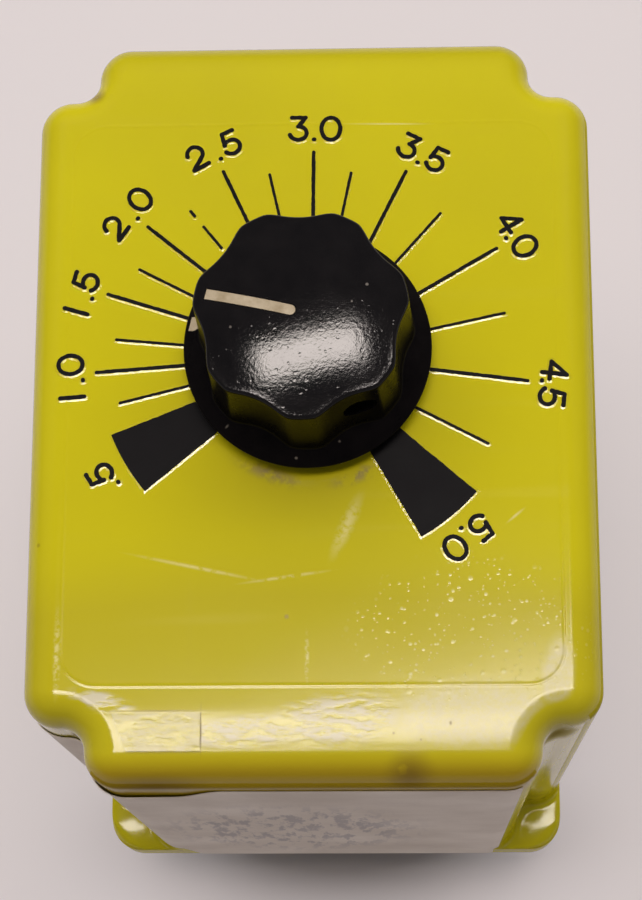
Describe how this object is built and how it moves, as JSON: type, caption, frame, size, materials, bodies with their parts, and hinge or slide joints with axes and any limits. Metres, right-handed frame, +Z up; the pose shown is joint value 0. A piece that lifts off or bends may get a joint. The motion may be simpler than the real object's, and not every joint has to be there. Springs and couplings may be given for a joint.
{
  "type": "plug-in delay timer",
  "caption": "Plug-in delay timer: notched yellow case with a fluted dial knob over a number scale, a keyed round plug underneath and a relay inside that switches after the set time.",
  "frame": {"origin": "centre of the tip of the plug's key post, on which the timer stands", "axes": "+Z up along the plug's axis, +X to the right of the front face, -Y towards the front of the case"},
  "size_m": [0.0446, 0.0607, 0.0917],
  "materials": {
    "case_yellow": "glossy moulded plastic, scuffed",
    "label_paper": "faded off-white label",
    "knob_black": "glossy moulded, scratched",
    "mark_white": "aged white paint",
    "phenolic_black": "moulded phenolic",
    "brown_board": "paper phenolic board",
    "nickel": "nickel plated",
    "zinc_steel": "zinc plated",
    "brass": "bare brass",
    "copper_wire": "enamelled copper wire",
    "silver_contact": "silver plated",
    "board_green": "lacquered circuit board",
    "chip_black": "moulded epoxy",
    "film_red": "dipped",
    "can_blue": "plastic sleeve",
    "resistor_tan": "lacquered",
    "nylon_white": "moulded nylon",
    "lead_red": "insulated wire"
  },
  "bodies": {
    "case": {"case_cover": "case_yellow", "label_front": "label_paper", "base_plate": "phenolic_black", "octal_plug": "phenolic_black", "plug_pin_1": "nickel", "plug_pin_2": "nickel", "plug_pin_3": "nickel", "plug_pin_4": "nickel", "plug_pin_5": "nickel", "plug_pin_6": "nickel", "plug_pin_7": "nickel", "plug_pin_8": "nickel", "plug_rivet_left": "brass", "plug_rivet_right": "brass", "cover_screw_left": "zinc_steel", "cover_screw_right": "zinc_steel", "main_board": "board_green", "timing_chip": "chip_black", "rectifier": "chip_black", "driver_transistor": "chip_black", "timing_capacitor": "film_red", "filter_capacitor": "can_blue", "dropper_resistor": "resistor_tan", "relay_yoke": "zinc_steel", "relay_core": "zinc_steel", "relay_screw_left": "zinc_steel", "relay_screw_right": "zinc_steel", "coil_bobbin": "nylon_white", "coil_winding": "copper_wire", "contact_block": "phenolic_black", "contact_no_left": "silver_contact", "contact_no_right": "silver_contact", "contact_nc_left": "silver_contact", "contact_nc_right": "silver_contact", "return_spring": "zinc_steel", "pot_washer": "zinc_steel", "pot_bushing": "brass", "pot_nut": "nickel", "pot_can": "nickel", "pot_wafer": "brown_board", "pot_lug_1": "nickel", "pot_lug_2": "nickel", "pot_lug_3": "nickel", "pot_lead_1": "lead_red", "pot_lead_2": "lead_red", "pot_lead_3": "lead_red"},
    "dial": {"knob": "knob_black", "pointer_line": "mark_white", "skirt_mark": "mark_white", "knob_set_screw": "zinc_steel", "pot_shaft": "brass", "pot_wiper": "chip_black"},
    "relay_armature": {"armature": "zinc_steel", "contact_carrier": "brown_board", "moving_contact_left": "silver_contact", "moving_contact_right": "silver_contact"}
  },
  "joints": [
    {"name": "knob_turn", "type": "hinge", "parent": "case", "child": "dial", "pos_m": [0, 0.0033, 0.08], "axis": [0, 0, 1], "range_deg": [-228.6, 51.4]},
    {"name": "armature_close", "type": "hinge", "parent": "case", "child": "relay_armature", "pos_m": [0, 0.00385, 0.05195], "axis": [1, 0, 0], "range_deg": [0, 5], "stiffness_Nm_per_rad": 0.02, "springref_deg": -14.32, "deforming": ["return_spring"]}
  ]
}
